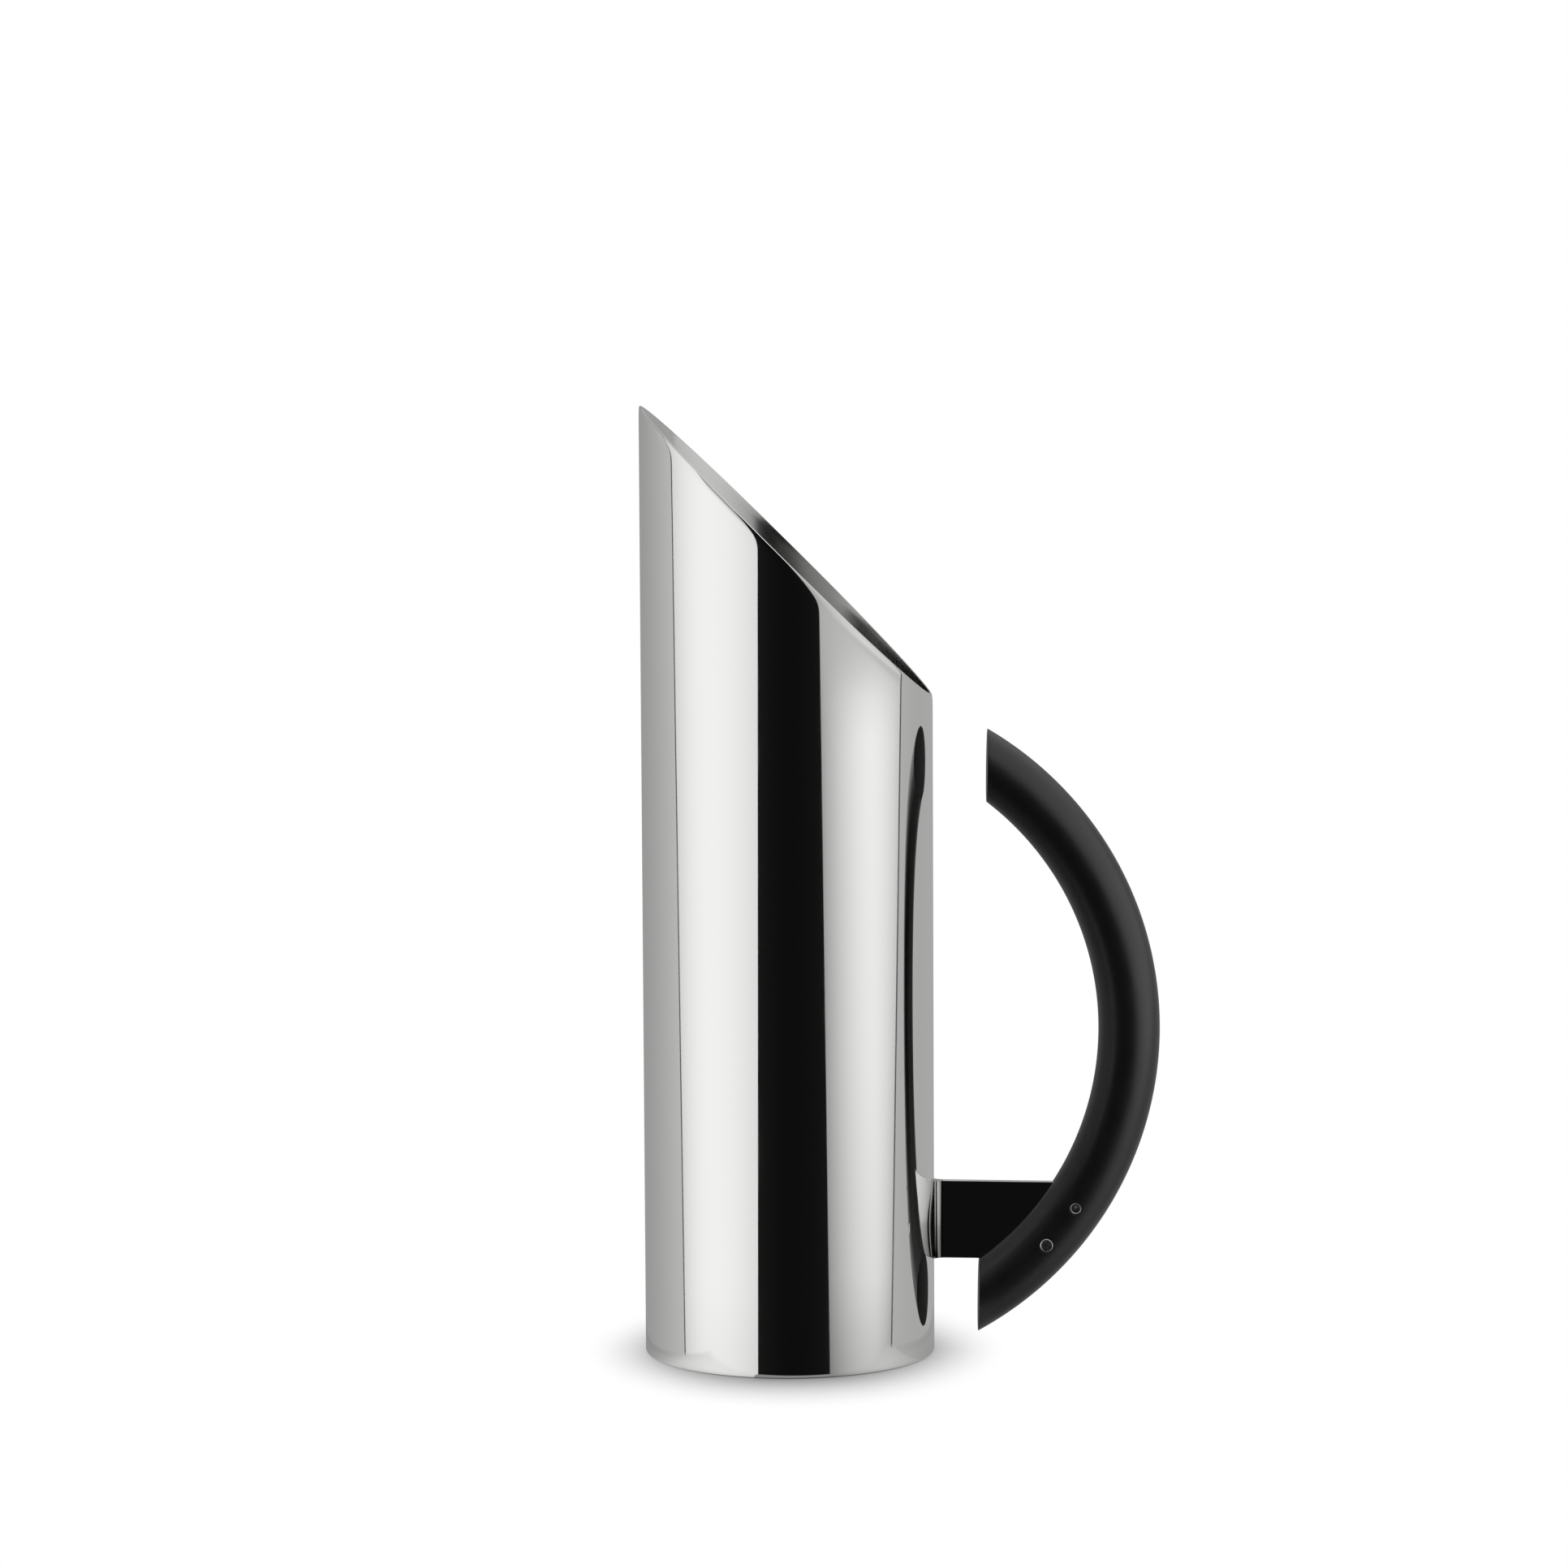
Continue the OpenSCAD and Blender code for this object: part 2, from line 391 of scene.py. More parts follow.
def noise(nodes, links, scale, detail, along=1):
    """Noise on the object's own coordinates, drawn out along Z where the last number is under 1."""
    place = add_node(nodes, "ShaderNodeTexCoord")
    mapping = add_node(nodes, "ShaderNodeMapping", Scale=(1, 1, along))
    texture = add_node(nodes, "ShaderNodeTexNoise", Scale=scale, Detail=detail)
    links.new(place.outputs["Object"], mapping.inputs["Vector"])
    links.new(mapping.outputs["Vector"], texture.inputs["Vector"])
    return texture.outputs["Fac"]


def surface(name, colour, metallic, patches, roughness, grain, relief):
    """Finish with soft patches between two roughnesses, and a fine grain in relief."""
    mat, nodes, links = new_material(name)
    shader = nodes["Principled BSDF"]
    set_values(shader, Base_Color=(*colour, 1), Metallic=metallic)
    low, high = roughness
    span = add_node(
        nodes, "ShaderNodeMapRange",
        From_Min=NOISE_LOW, From_Max=NOISE_HIGH, To_Min=low, To_Max=high,
    )
    strength, depth = relief
    bump = add_node(nodes, "ShaderNodeBump", Strength=strength, Distance=depth)
    links.new(noise(nodes, links, *patches), span.inputs["Value"])
    links.new(span.outputs["Result"], shader.inputs["Roughness"])
    links.new(noise(nodes, links, *grain), bump.inputs["Height"])
    links.new(bump.outputs["Normal"], shader.inputs["Normal"])
    return mat


# Materials


def polished_steel():
    """Mirror polish, with the last faint lines of the polishing along the tube."""
    return surface(
        "polished_steel", (0.78, 0.78, 0.77), 1,
        patches=(60, 6), roughness=(0.02, 0.05), grain=(900, 2, 0.02), relief=(0.05, 0.01 * MM),
    )


def shaded_weld_steel():
    """Weld steel, smoothed by grinding and a little duller than the polish round it; its darker colour is
    painted shade in the hollow between plate and tube.
    """
    return surface(
        "shaded_weld_steel", (0.42, 0.42, 0.41), 1,
        patches=(60, 6), roughness=(0.05, 0.09), grain=(900, 2, 0.02), relief=(0.05, 0.01 * MM),
    )


def satin_steel():
    """Fine satin of the inside and the base, drawn along the tube."""
    return surface(
        "satin_steel", (0.66, 0.66, 0.65), 1,
        patches=(40, 5), roughness=(0.15, 0.19), grain=(1200, 2, 0.05), relief=(0.02, 0.01 * MM),
    )


def grip_plastic():
    """Matte black plastic with a fine moulded grain."""
    return surface(
        "grip_plastic", (0.006, 0.006, 0.006), 0,
        patches=(120, 4), roughness=(0.34, 0.4), grain=(5000, 3), relief=(0.25, 0.03 * MM),
    )


def fastener_steel():
    """Bright turned steel of the dowel and the sleeve."""
    return surface(
        "fastener_steel", (0.72, 0.72, 0.72), 1,
        patches=(1500, 4), roughness=(0.2, 0.27), grain=(6000, 3), relief=(0.06, 0.01 * MM),
    )


def dark_steel():
    """Darker turned steel of the screw."""
    return surface(
        "dark_steel", (0.3, 0.3, 0.31), 1,
        patches=(1500, 4), roughness=(0.2, 0.35), grain=(6000, 3), relief=(0.06, 0.01 * MM),
    )


# Camera


def add_camera():
    camera = add_object("camera", bpy.data.cameras.new("camera"))
    camera.data.sensor_width = CAMERA_SENSOR
    camera.data.lens = CAMERA_LENS
    camera.data.clip_start = CAMERA_NEAR
    camera.data.clip_end = CAMERA_FAR
    heading = Matrix.Rotation(CAMERA_HEADING, 4, "Z")
    tilt = Matrix.Rotation(math.pi / 2 - CAMERA_DOWN, 4, "X")
    roll = Matrix.Rotation(CAMERA_ROLL, 4, "Z")
    camera.matrix_world = Matrix.Translation(CAMERA_PLACE) @ heading @ tilt @ roll
    bpy.context.scene.camera = camera


# Tube


def lip_inset(depth):
    """How far the outer face has turned in, at a distance below the plane of the mouth, square to it."""
    return LIP_TURN * math.exp(-depth / LIP_FADE)


def dent(angle, height):
    """How far the weld of the plate has drawn the wall in, at a place beside the plate."""
    off = (angle + math.pi) % (2 * math.pi) - math.pi
    far = (off * TUBE_R / DENT_HALF_W) ** 2 + ((height - DENT_Z) / DENT_HALF_H) ** 2
    return DENT_DEPTH * max(0, 1 - far) ** 2


def wall_point(cos_angle, drop):
    """Point (radius, height) of the outer face, at a drop straight down from the plane of the mouth."""
    radius = TUBE_R - lip_inset(drop * math.cos(MOUTH_SLOPE))
    return Vector((radius, MOUTH_H - radius * cos_angle * math.tan(MOUTH_SLOPE) - drop))


def foot_edge():
    """Round edge of the foot, from the underside up to the wall."""
    points = []
    for k in range(RIM_STEPS + 1):
        turn = math.pi / 2 * k / RIM_STEPS
        points.append(Vector((
            TUBE_R - FOOT_EDGE_R * (1 - math.sin(turn)),
            FOOT_EDGE_R * (1 - math.cos(turn)),
        )))
    return points


def tube_outline(cos_angle):
    """Closed outline of the wall at one place round it, and the count of its points that are polished."""
    across = Vector((-1, cos_angle * math.tan(MOUTH_SLOPE)))
    outer_corner = wall_point(cos_angle, 0)
    lip_down = wall_point(cos_angle, RIM_OUTER_R) - outer_corner
    outer = fillet(outer_corner, lip_down, across, RIM_OUTER_R, RIM_STEPS)
    inner_corner = Vector((BORE_R, MOUTH_H - BORE_R * cos_angle * math.tan(MOUTH_SLOPE)))
    inner = fillet(inner_corner, -across, Vector((0, -1)), RIM_INNER_R, RIM_STEPS)
    lip_start = (outer[0] - outer_corner).length
    lip_reach = LIP_BAND / math.cos(MOUTH_SLOPE) - lip_start
    shares = [(k / LIP_ROWS) ** LIP_CROWDING for k in range(LIP_ROWS, 0, -1)]
    lip = [wall_point(cos_angle, lip_start + lip_reach * share) for share in shares]
    heights = [FOOT_EDGE_R + GUARD, FOOT_EDGE_R + 2 * GUARD]
    heights += [DENT_Z + DENT_HALF_H * (2 * k / DENT_ROWS - 1) for k in range(DENT_ROWS + 1)]
    top = heights[-1]
    heights += [top + (lip[0].y - top) * share for share in WALL_SHARES]
    wall = [Vector((TUBE_R, height)) for height in heights]
    polished = foot_edge() + wall + lip + outer + inner[:1]
    bore = [Vector((BORE_R, inner[-1].y * (1 - share))) for share in BORE_SHARES]
    return polished + inner[1:] + bore, len(polished)


def build_tube(outside, inside):
    vertices = []
    face_materials = []
    for c in range(TUBE_COLUMNS):
        angle = 2 * math.pi * c / TUBE_COLUMNS
        outline, polished = tube_outline(math.cos(angle))
        rows = len(outline)
        vertices += [on_circle(point.x - dent(angle, point.y), angle, point.y) for point in outline]
        face_materials += [0 if r < polished - 1 or r == rows - 1 else 1 for r in range(rows)]
    mesh = closed_mesh("jug_tube", vertices, band_faces(TUBE_COLUMNS, rows, closed=True))
    mesh.materials.append(outside)
    mesh.materials.append(inside)
    mesh.polygons.foreach_set("material_index", face_materials)
    return finish_piece("jug_tube", mesh, "body_tube")


# Base disc


def build_base(steel):
    points = [(0, 0), (DISC_R, 0), (DISC_R, BASE_T), (0, BASE_T)]
    outline = rounded(points, [0, DISC_EDGE_R, DISC_EDGE_R, 0])
    mesh = turned_mesh("base_plate", outline, DISC_COLUMNS)
    mesh.materials.append(steel)
    return finish_piece("base_plate", mesh, "base_disc")


# Bracket plate


def slab_height(x, local_z):
    """Height in the world of a level line of the leaning frame, where it crosses a vertical plane at x."""
    local_x = (x - ARC_CENTRE.x - local_z * math.sin(HANDLE_LEAN)) / math.cos(HANDLE_LEAN)
    return (handle_frame @ Vector((local_x, 0, local_z))).z


def plate_end_x(local_z):
    """Where the plate's round end is, at a height of the leaning frame."""
    return (handle_frame @ Vector((math.sqrt(PLATE_END_R**2 - local_z**2), 0, local_z))).x


def plate_stations():
    """Places (x, half thickness) along the plate: root, hollow of the weld, flat and round end."""
    weld_y = PLATE_T / 2 + WELD_R
    weld_x = math.sqrt((TUBE_R + WELD_R) ** 2 - weld_y**2)
    tangent = math.asin(weld_y / (TUBE_R + WELD_R))
    stations = []
    for k in range(WELD_STEPS + 1):
        turn = tangent + (math.pi / 2 - tangent) * k / WELD_STEPS
        stations.append((weld_x - WELD_R * math.cos(turn), weld_y - WELD_R * math.sin(turn)))
    root_x = TUBE_R * math.cos(tangent) - DENT_DEPTH - ROOT_DEPTH
    stations.insert(0, (root_x, stations[0][1] + ROOT_FLARE))
    end_x = plate_end_x(PLATE_LOW)
    far_x = plate_end_x(PLATE_HIGH) - PLATE_END_CUT
    for x in (weld_x + WELD_GAP, PLATE_MIDDLE_X):
        stations.append((x, PLATE_T / 2))
    for k in range(PLATE_END_STEPS + 1):
        stations.append((end_x + (far_x - end_x) * k / PLATE_END_STEPS, PLATE_T / 2))
    return stations


def plate_section(x, half):
    """Section of the plate at a station, with its four edges rounded."""
    high = slab_height(x, PLATE_HIGH)
    low = slab_height(x, PLATE_LOW)
    local_x = (handle_frame.inverted() @ Vector((x, 0, low))).x
    low = slab_height(x, max(PLATE_LOW, -math.sqrt(PLATE_END_R**2 - local_x**2)))
    low = min(low, high - PLATE_END_H)
    points = []
    for quarter, (side, top) in enumerate(((1, 1), (-1, 1), (-1, -1), (1, -1))):
        centre_y = side * (half - PLATE_EDGE_R)
        centre_z = high - PLATE_EDGE_R if top > 0 else low + PLATE_EDGE_R
        for k in range(CORNER_STEPS + 1):
            turn = math.pi / 2 * (quarter + k / CORNER_STEPS)
            y = centre_y + PLATE_EDGE_R * math.cos(turn)
            z = centre_z + PLATE_EDGE_R * math.sin(turn)
            points.append((x, y, z))
    return points


def build_plate(steel, shaded_weld):
    sections = [plate_section(x, half) for x, half in plate_stations()]
    rows = len(sections[0])
    faces = band_faces(len(sections), rows, closed=False)
    mesh = closed_mesh("bracket", [point for section in sections for point in section], faces)
    mesh.materials.append(steel)
    mesh.materials.append(shaded_weld)
    weld_faces = (WELD_STEPS + 1) * rows
    # The weld's faces take the darker steel, painted shade in the hollow at the plate's root
    mesh.polygons.foreach_set("material_index", [1] * weld_faces + [0] * (len(faces) - weld_faces))
    return finish_piece("bracket", mesh, "bracket_plate")


# Fasteners


def across_arc(angle):
    """Puts a turned form on the grip's arc at an angle, with its axis along Y and its foot at the front."""
    on_arc = Matrix.Rotation(angle, 4, "Y") @ Matrix.Translation((ARC_R, 0, 0))
    return on_arc @ Matrix.Rotation(-math.pi / 2, 4, "X")


def build_fastener(name, outline, angle, steel, node):
    mesh = turned_mesh(name, outline, FASTENER_COLUMNS, handle_frame @ across_arc(angle))
    mesh.materials.append(steel)
    return finish_piece(name, mesh, node)


def build_dowel(steel):
    radius = DOWEL_D / 2
    points = [
        (0, -FASTENER_Y), (radius - END_CHAMFER, -FASTENER_Y), (radius, -FASTENER_Y + END_CHAMFER),
        (radius, FASTENER_Y - END_CHAMFER), (radius - END_CHAMFER, FASTENER_Y), (0, FASTENER_Y),
    ]
    outline = rounded(points, [0, DOWEL_RIM_R, EDGE_R, EDGE_R, DOWEL_RIM_R, 0], DOWEL_RIM_STEPS)
    return build_fastener("dowel_pin", outline, DOWEL_ANGLE, steel, "dowel")


def build_sleeve(steel):
    radius = SLEEVE_D / 2
    bore = SLEEVE_BORE_D / 2
    points = [
        (bore, SLEEVE_END_Y), (bore, -FASTENER_Y + SLEEVE_LEAD), (bore + SLEEVE_LEAD, -FASTENER_Y),
        (radius - END_CHAMFER, -FASTENER_Y), (radius, -FASTENER_Y + END_CHAMFER), (radius, SLEEVE_END_Y),
        (bore, SLEEVE_END_Y),
    ]
    outline = rounded(points, [0] + [SLEEVE_EDGE_R] * 4 + [0, 0])
    return build_fastener("sleeve_nut", outline, SLEEVE_ANGLE, steel, "clamp_sleeve")


def socket_mouth():
    """Points (x, y) of the hexagon of the screw's socket, one for each column."""
    sixth = math.pi / 3
    points = []
    for c in range(SCREW_COLUMNS):
        angle = 2 * math.pi * c / SCREW_COLUMNS
        off = (angle + sixth / 2) % sixth - sixth / 2
        reach = SOCKET_AF / 2 / math.cos(off)
        points.append((reach * math.cos(angle), reach * math.sin(angle)))
    return points


def cut_socket(mesh):
    """Closes the screw's head with a hexagon socket, from the rim that its last ring of vertices makes."""
    bm = bmesh.new()
    bm.from_mesh(mesh)
    last = list(bm.verts)[-SCREW_COLUMNS:]
    floor = FASTENER_Y - SOCKET_DEPTH
    for height in (FASTENER_Y, floor):
        ring = [bm.verts.new((x, y, height)) for x, y in socket_mouth()]
        for c in range(SCREW_COLUMNS):
            d = (c + 1) % SCREW_COLUMNS
            bm.faces.new((last[c], last[d], ring[d], ring[c]))
        last = ring
    point = bm.verts.new((0, 0, floor - SOCKET_POINT))
    for c in range(SCREW_COLUMNS):
        bm.faces.new((last[c], last[(c + 1) % SCREW_COLUMNS], point))
    bmesh.ops.recalc_face_normals(bm, faces=bm.faces)
    bm.to_mesh(mesh)
    bm.free()


def build_screw(steel):
    radius = SCREW_D / 2
    head = SCREW_HEAD_D / 2
    seat = FASTENER_Y - SCREW_HEAD_H
    points = [
        (0, SCREW_TIP_Y + DIMPLE_DEPTH), (DIMPLE_R - DIMPLE_EDGE, SCREW_TIP_Y + DIMPLE_EDGE),
        (DIMPLE_R, SCREW_TIP_Y), (radius - END_CHAMFER, SCREW_TIP_Y), (radius, SCREW_TIP_Y + END_CHAMFER),
        (radius, seat), (head - END_CHAMFER, seat), (head, seat + END_CHAMFER),
        (head, FASTENER_Y - END_CHAMFER), (head - END_CHAMFER, FASTENER_Y), (SOCKET_RIM_R, FASTENER_Y),
    ]
    radii = [0, 0, 0, EDGE_R, EDGE_R, 0, EDGE_R, EDGE_R, SCREW_HEAD_EDGE_R, SCREW_HEAD_EDGE_R, 0]
    mesh = turned_mesh("cap_screw", rounded(points, radii), SCREW_COLUMNS)
    cut_socket(mesh)
    mesh.transform(handle_frame @ across_arc(SLEEVE_ANGLE))
    mesh.materials.append(steel)
    return finish_piece("cap_screw", mesh, "clamp_screw")


# Grip


def arc_mesh():
    """Round bar along the arc, with both ends cut off upright and their edges rounded."""
    vertices = []
    for s in range(GRIP_ALONG + 1):
        share = 2 * s / GRIP_ALONG - 1
        for t in range(GRIP_ROUND):
            turn = 2 * math.pi * t / GRIP_ROUND
            reach = ARC_R + GRIP_R * math.cos(turn)
            angle = share * math.acos(GRIP_END_X / reach)
            vertices.append((reach * math.cos(angle), GRIP_R * math.sin(turn), reach * math.sin(angle)))
    mesh = closed_mesh("grip_body", vertices, band_faces(GRIP_ALONG + 1, GRIP_ROUND, closed=False))
    bm = bmesh.new()
    bm.from_mesh(mesh)
    edges = [edge for face in bm.faces if len(face.verts) == GRIP_ROUND for edge in face.edges]
    bmesh.ops.bevel(
        bm, geom=edges, offset=GRIP_EDGE_R, segments=GRIP_EDGE_STEPS, profile=0.5, affect="EDGES",
    )
    bm.to_mesh(mesh)
    bm.free()
    return mesh


def slot_cutter():
    """Form of the plate's slot, which is open towards the tube and round at its far end."""
    low = PLATE_LOW - SLOT_CLEAR
    high = PLATE_HIGH + SLOT_CLEAR
    half = PLATE_T / 2 + SLOT_CLEAR
    reach = PLATE_END_R + SLOT_CLEAR
    start = math.asin(low / reach)
    end = math.asin(high / reach)
    outline = [(SLOT_MOUTH_X, low)]
    for k in range(SLOT_STEPS + 1):
        angle = start + (end - start) * k / SLOT_STEPS
        outline.append((reach * math.cos(angle), reach * math.sin(angle)))
    outline.append((SLOT_MOUTH_X, high))
    vertices = [(x, side * half, z) for side in (-1, 1) for x, z in outline]
    return closed_mesh("slot_cutter", vertices, band_faces(2, len(outline), closed=False))


def bore_cutter(name, angle, diameter, low, high, flare_low, flare_high):
    """Round cutter across the arc, which can flare at the front and at the back skin of the grip."""
    radius = diameter / 2 + BORE_CLEAR
    wide = radius + BORE_FLARE
    outline = [(0, low)]
    if flare_low:
        outline += [(wide, low), (wide, -FASTENER_Y), (radius, -FASTENER_Y + BORE_FLARE)]
    else:
        outline.append((radius, low))
    if flare_high:
        outline += [(radius, FASTENER_Y - BORE_FLARE), (wide, FASTENER_Y), (wide, high)]
    else:
        outline.append((radius, high))
    outline.append((0, high))
    mesh = turned_mesh(name, outline, FASTENER_COLUMNS)
    mesh.transform(across_arc(angle))
    return mesh


def build_grip(plastic):
    mesh = arc_mesh()
    mesh.materials.append(plastic)
    grip = add_object("grip_body", mesh)
    sleeve_end = SLEEVE_END_Y + BORE_CLEAR
    head_seat = FASTENER_Y - SCREW_HEAD_H
    cutters = [
        slot_cutter(),
        bore_cutter("dowel_cutter", DOWEL_ANGLE, DOWEL_D, -CUT_Y, CUT_Y, True, True),
        bore_cutter("sleeve_cutter", SLEEVE_ANGLE, SLEEVE_D, -CUT_Y, sleeve_end, True, False),
        bore_cutter("shank_cutter", SLEEVE_ANGLE, SCREW_D, 0, CUT_Y, False, False),
        bore_cutter("head_cutter", SLEEVE_ANGLE, SCREW_HEAD_D, head_seat, CUT_Y, False, True),
    ]
    tools = [add_object(cutter.name, cutter) for cutter in cutters]
    for tool in tools:
        cut = grip.modifiers.new(tool.name, "BOOLEAN")
        cut.operation = "DIFFERENCE"
        cut.solver = "EXACT"
        cut.object = tool
    bpy.context.view_layer.update()
    result = bpy.data.meshes.new_from_object(grip.evaluated_get(bpy.context.evaluated_depsgraph_get()))
    for used in [grip] + tools:
        bpy.data.objects.remove(used)
    result.transform(handle_frame)
    result.name = "grip_body"
    return finish_piece("grip_body", result, "grip", sharp_deg=30)


# Studio


def stage_object(name, mesh, mat):
    piece = add_object(name, mesh)
    mesh.materials.append(mat)
    return piece


def glow_material():
    """Light of the strength that a vertex's glow says, seen as far as its cover says."""
    mat, nodes, links = new_material("panel_glow")
    nodes.clear()
    glow = nodes.new("ShaderNodeAttribute")
    glow.attribute_name = "glow"
    cover = nodes.new("ShaderNodeAttribute")
    cover.attribute_name = "cover"
    light = nodes.new("ShaderNodeEmission")
    clear = nodes.new("ShaderNodeBsdfTransparent")
    mix = nodes.new("ShaderNodeMixShader")
    out = nodes.new("ShaderNodeOutputMaterial")
    links.new(glow.outputs["Fac"], light.inputs["Strength"])
    links.new(cover.outputs["Fac"], mix.inputs["Fac"])
    links.new(clear.outputs["BSDF"], mix.inputs[1])
    links.new(light.outputs["Emission"], mix.inputs[2])
    links.new(mix.outputs["Shader"], out.inputs["Surface"])
    mat.cycles.emission_sampling = "NONE"
    return mat


def leaned(edge, height):
    """Angle of a panel's edge at a height; it leans between two heights and is upright past them."""
    start, slope = edge
    return start + slope * min(max(height, LEAN_LOW), LEAN_TOP)


def glow_between(at, first, last, core_at, glows, power):
    """Glow at an angle between two edges: (first edge, core, last edge), falling off from the core."""
    if at < core_at:
        far = (core_at - at) / (core_at - first)
        edge = glows[0]
    else:
        far = (at - core_at) / max(last - core_at, 1e-6)
        edge = glows[2]
    return glows[1] + (edge - glows[1]) * far**power


def set_cover(sheet, values):
    sheet.data.attributes["cover"].data.foreach_set("value", values)


def glow_sheet(name, rows, values, mat):
    """Sheet over equal rows of points, with a glow at each point, that only reflections and light see."""
    width = len(rows[0])
    faces = []
    for r in range(len(rows) - 1):
        for a in range(r * width, (r + 1) * width - 1):
            faces.append((a, a + 1, a + 1 + width, a + width))
    mesh = bpy.data.meshes.new(name)
    mesh.from_pydata([point for row in rows for point in row], [], faces)
    mesh.attributes.new("glow", "FLOAT", "POINT").data.foreach_set("value", values)
    mesh.attributes.new("cover", "FLOAT", "POINT")
    sheet = stage_object(name, mesh, mat)
    set_cover(sheet, [1] * len(values))
    sheet.visible_camera = False
    return sheet


def scaled(glows, *steps):
    """Levels of a panel, (height, glows), from (height, strength) steps."""
    return [(height, tuple(strength * glow for glow in glows)) for height, strength in steps]


def panel(name, edges, core_at, power, levels, mat, part=(0, PANEL_COLUMNS), radius=RING_R):
    """Upright panel of the ring between two edges, or only a part of its columns."""
    rows = []
    values = []
    for height, glows in levels:
        first, last = (leaned(edge, height) for edge in edges)
        row = []
        for c in range(part[0], part[1] + 1):
            at = first + (last - first) * c / PANEL_COLUMNS
            row.append(on_circle(radius, math.radians(at - 90), height))
            values.append(glow_between(at, first, last, core_at, glows, power))
        rows.append(row)
    return glow_sheet(name, rows, values, mat)


def painted_floor_reach(angle):
    """How far the painted floor reflection reaches from the tube's axis in a direction, in radians from the
    front.
    """
    x = math.sin(angle)
    y = -math.cos(angle)
    reach = (PAINTED_FLOOR_RIGHT if x > 0 else PAINTED_FLOOR_LEFT) / max(abs(x), 1e-6)
    if y > 0:
        return min(reach, PAINTED_FLOOR_BACK / y)
    if y < PAINTED_FLOOR_SLANT * x:
        return min(reach, PAINTED_FLOOR_FRONT / (y - PAINTED_FLOOR_SLANT * x))
    return reach


def painted_floor_sector(name, first, last, core_at, glows, power, mat):
    """Part of the painted floor reflection round the foot, with painted shade next to the foot and a clear
    outer edge.
    """
    rows = []
    values = []
    for share, strength in PAINTED_FLOOR_SHADE_RINGS:
        row = []
        for c in range(PAINTED_FLOOR_COLUMNS + 1):
            at = first + (last - first) * c / PAINTED_FLOOR_COLUMNS
            reach = painted_floor_reach(math.radians(at))
            radius = PAINTED_FLOOR_HOLE + (reach - PAINTED_FLOOR_HOLE) * share
            row.append(on_circle(radius, math.radians(at - 90), -FLOOR_DROP / 2))
            # Painted light and shade of the floor, seen only in reflections
            values.append(strength * glow_between(at, first, last, core_at, glows, power))
        rows.append(row)
    sheet = glow_sheet(name, rows, values, mat)
    rim = PAINTED_FLOOR_COLUMNS + 1
    set_cover(sheet, [1] * (len(values) - rim) + [0] * rim)
    sheet.visible_diffuse = False
    sheet.visible_shadow = False


def link_light(piece, state, sheet):
    """Lets a panel light a piece alone, or every piece but that one."""
    receivers = bpy.data.collections.new("receivers")
    receivers.objects.link(piece)
    receivers.collection_objects[0].light_linking.link_state = state
    sheet.light_linking.receiver_collection = receivers


def left_levels(upper):
    """Levels of the left softbox, with the glows of its part above the jug."""
    return scaled(LEFT_GLOWS, *LEFT_STEPS) + [(UPPER_H, upper), (PANEL_TOP, upper)]


def right_levels():
    """Levels of the right softbox, whose dimmer waist is reflected by the top of the tube."""
    return scaled(RIGHT_GLOWS, *RIGHT_STEPS) + list(RIGHT_WAIST)


def even_levels(glows):
    """Levels of a panel that is the same at each height."""
    return [(height, glows) for height in (RING_LOW, LEAN_LOW, LEAN_TOP, PANEL_TOP)]


def add_softboxes(grip, mat):
    """Left and right softbox; the grip takes no light from the left one's front, and more from the right."""
    left = ((JOINT_LEFT, BLACK_LEFT), LEFT_CORE, LEFT_POWER)
    panel("left_softbox_back", *left, left_levels(LEFT_UPPER_BACK), mat, (0, LEFT_PARTING))
    front_part = (LEFT_PARTING, PANEL_COLUMNS)
    front = panel("left_softbox_front", *left, left_levels(LEFT_UPPER_FRONT), mat, front_part)
    right = ((BLACK_RIGHT, JOINT_RIGHT), RIGHT_CORE, RIGHT_POWER)
    panel("right_softbox", *right, right_levels(), mat)
    strong = []
    for height, glows in right_levels():
        strong += scaled(glows, (height, GRIP_SHARE / VEIL))
    veil = panel("grip_softbox", *right, strong, mat, radius=RING_R - VEIL_GAP)
    set_cover(veil, [VEIL] * len(veil.data.vertices))
    link_light(grip, "INCLUDE", veil)
    link_light(grip, "EXCLUDE", front)


def add_studio(grip):
    mat = glow_material()
    add_softboxes(grip, mat)
    for name, edges, core_at, glows, power in EVEN_PANELS:
        panel(name, edges, core_at, power, even_levels(glows), mat)
    for sector in PAINTED_FLOOR_SECTORS:
        painted_floor_sector(*sector, mat)
    add_floor()
    add_world()


# Floor and world


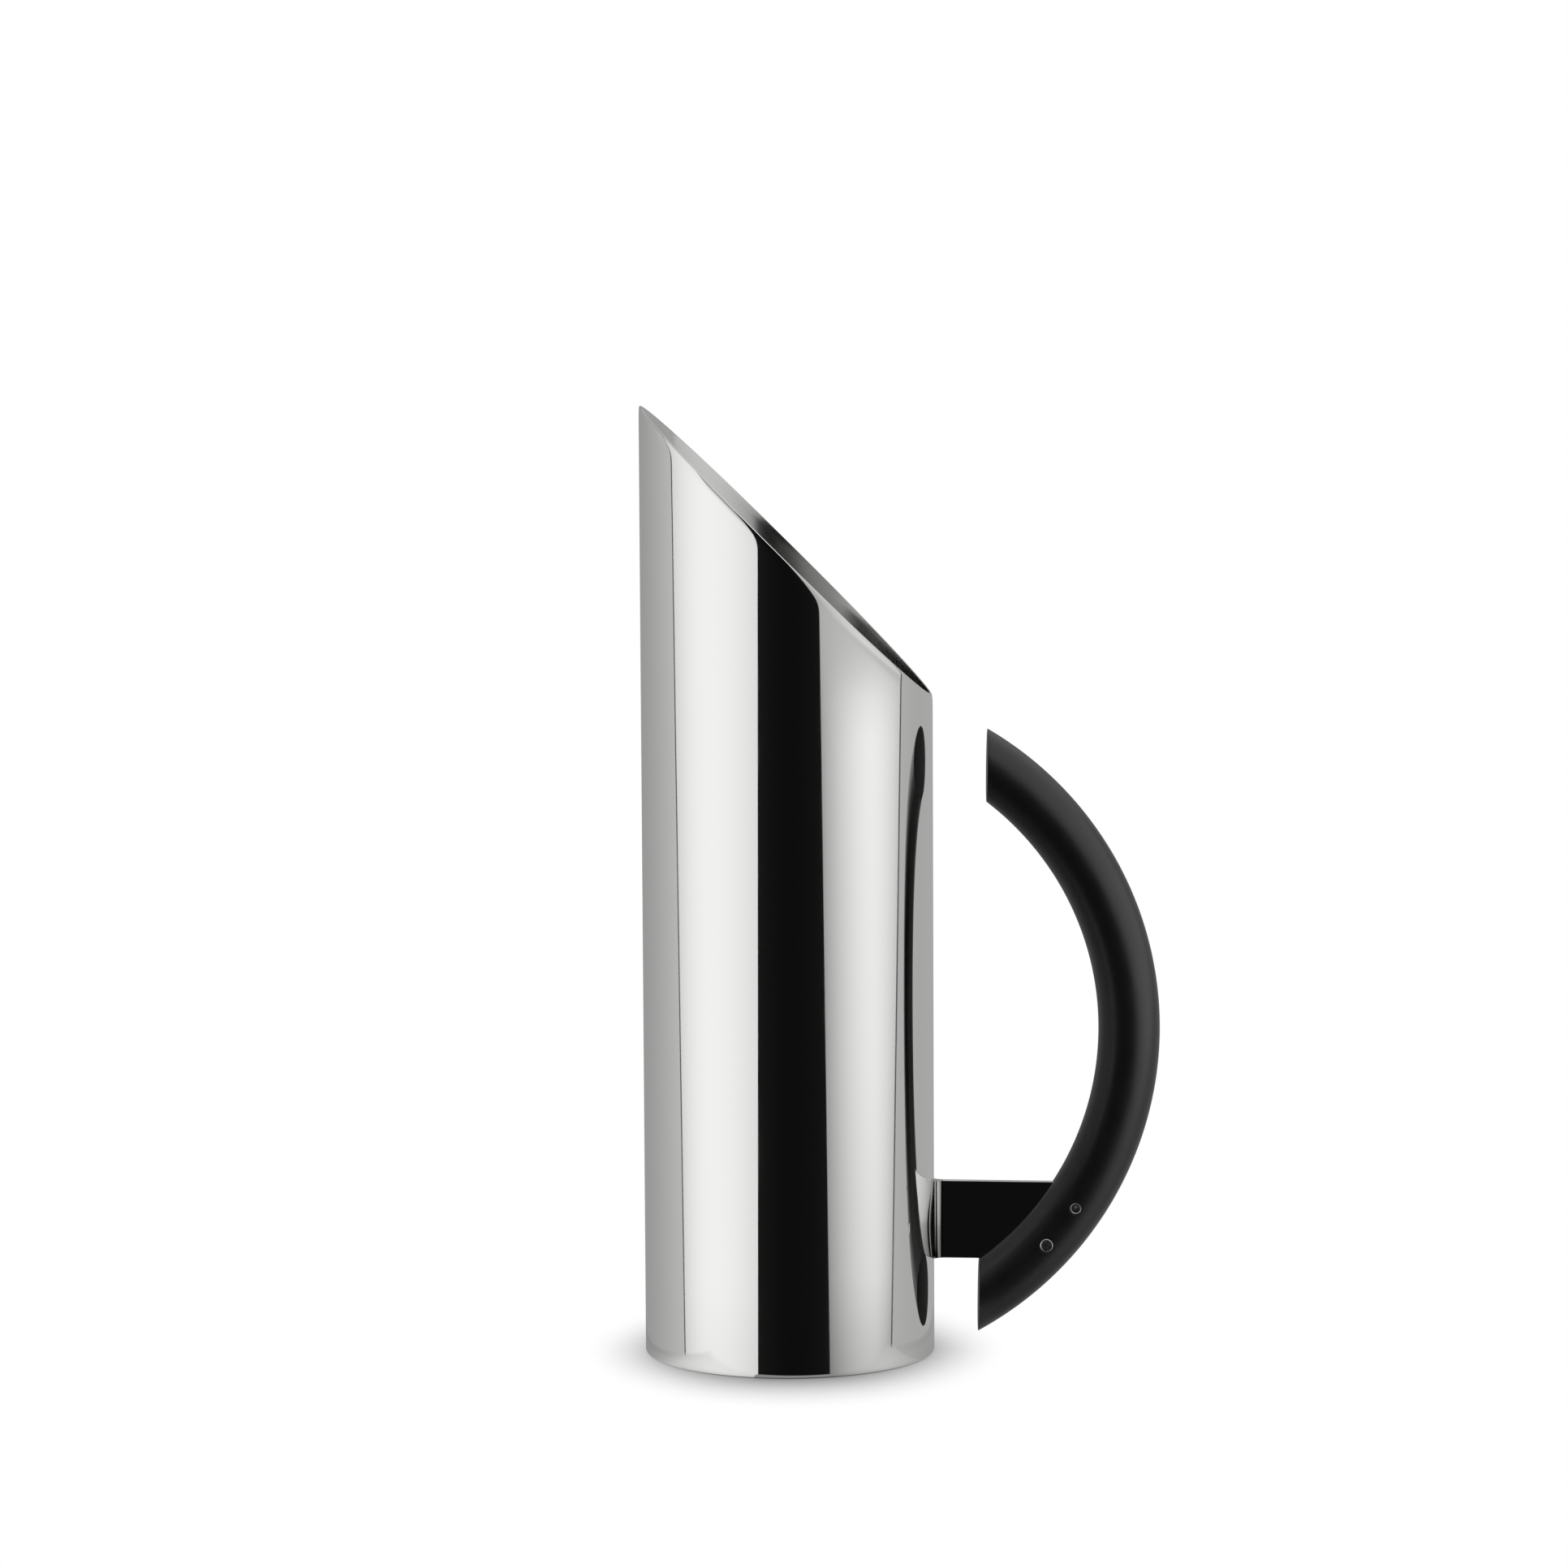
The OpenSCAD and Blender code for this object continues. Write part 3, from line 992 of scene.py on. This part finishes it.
def floor_material():
    """Pale, with painted shade from ambient occlusion on its colour next to the jug, white for the camera
    away from the jug, and clear from below.
    """
    mat, nodes, links = new_material("pale_floor")
    shader = nodes["Principled BSDF"]
    set_values(shader, Roughness=FLOOR_ROUGHNESS)
    # Painted shade: ambient occlusion darkens the floor's colour next to the jug
    painted_shade = add_node(nodes, "ShaderNodeAmbientOcclusion", Color=FLOOR_COLOUR, Distance=PAINTED_SHADE_REACH)
    place = nodes.new("ShaderNodeTexCoord")
    oval = add_node(nodes, "ShaderNodeMapping", Scale=FADE_OVAL, Location=FADE_SHIFT)
    away = nodes.new("ShaderNodeVectorMath")
    away.operation = "LENGTH"
    fade = add_node(nodes, "ShaderNodeMapRange", From_Min=FADE_NEAR, From_Max=FADE_FAR)
    fade.interpolation_type = "SMOOTHSTEP"
    rays = nodes.new("ShaderNodeLightPath")
    seen = nodes.new("ShaderNodeMath")
    seen.operation = "MULTIPLY"
    white = nodes.new("ShaderNodeEmission")
    top = nodes.new("ShaderNodeMixShader")
    side = nodes.new("ShaderNodeNewGeometry")
    clear = nodes.new("ShaderNodeBsdfTransparent")
    both = nodes.new("ShaderNodeMixShader")
    links.new(painted_shade.outputs["Color"], shader.inputs["Base Color"])
    links.new(place.outputs["Object"], oval.inputs["Vector"])
    links.new(oval.outputs["Vector"], away.inputs[0])
    links.new(away.outputs["Value"], fade.inputs["Value"])
    links.new(fade.outputs["Result"], seen.inputs[0])
    links.new(rays.outputs["Is Camera Ray"], seen.inputs[1])
    links.new(seen.outputs["Value"], top.inputs["Fac"])
    links.new(shader.outputs["BSDF"], top.inputs[1])
    links.new(white.outputs["Emission"], top.inputs[2])
    links.new(side.outputs["Backfacing"], both.inputs["Fac"])
    links.new(top.outputs["Shader"], both.inputs[1])
    links.new(clear.outputs["BSDF"], both.inputs[2])
    links.new(both.outputs["Shader"], nodes["Material Output"].inputs["Surface"])
    mat.cycles.emission_sampling = "NONE"
    return mat


def add_floor():
    mesh = bpy.data.meshes.new("floor")
    points = [on_circle(FLOOR_R, 2 * math.pi * k / FLOOR_STEPS, -FLOOR_DROP) for k in range(FLOOR_STEPS)]
    mesh.from_pydata(points, [], [tuple(range(FLOOR_STEPS))])
    floor = stage_object("floor", mesh, floor_material())
    floor.visible_glossy = False


def add_world():
    """White for the camera; else bright above, more so on the right, dark under the level, grey below."""
    world = bpy.data.worlds.new("studio")
    world.use_nodes = True
    nodes = world.node_tree.nodes
    links = world.node_tree.links
    place = nodes.new("ShaderNodeTexCoord")
    split = nodes.new("ShaderNodeSeparateXYZ")
    rise = add_node(nodes, "ShaderNodeMapRange", From_Min=-1)
    steps = nodes.new("ShaderNodeValToRGB")
    ramp = steps.color_ramp.elements
    while len(ramp) < len(WORLD_STEPS):
        ramp.new(0.5)
    for element, (up, strength) in zip(ramp, WORLD_STEPS):
        element.position = (up + 1) / 2
        element.color = (strength, strength, strength, 1)
    side = add_node(
        nodes, "ShaderNodeMapRange",
        From_Min=-WORLD_SIDE, From_Max=WORLD_SIDE, To_Min=WORLD_LEFT, To_Max=WORLD_RIGHT,
    )
    both = nodes.new("ShaderNodeMath")
    both.operation = "MULTIPLY"
    rays = nodes.new("ShaderNodeLightPath")
    seen = nodes.new("ShaderNodeMapRange")
    background = nodes["Background"]
    set_values(background, Color=(1, 1, 1, 1))
    links.new(place.outputs["Generated"], split.inputs["Vector"])
    links.new(split.outputs["Z"], rise.inputs["Value"])
    links.new(rise.outputs["Result"], steps.inputs["Fac"])
    links.new(split.outputs["X"], side.inputs["Value"])
    links.new(steps.outputs["Color"], both.inputs[0])
    links.new(side.outputs["Result"], both.inputs[1])
    links.new(rays.outputs["Is Camera Ray"], seen.inputs["Value"])
    links.new(both.outputs["Value"], seen.inputs["To Min"])
    links.new(seen.outputs["Result"], background.inputs["Strength"])
    bpy.context.scene.world = world


# Scene, with the camera first

add_camera()
polished = polished_steel()
satin = satin_steel()
fastener = fastener_steel()
build_tube(polished, satin)
build_base(satin)
build_plate(polished, shaded_weld_steel())
grip_piece = build_grip(grip_plastic())
build_dowel(fastener)
build_sleeve(fastener)
build_screw(dark_steel())
add_studio(grip_piece)
bpy.context.scene.view_settings.view_transform = "Standard"
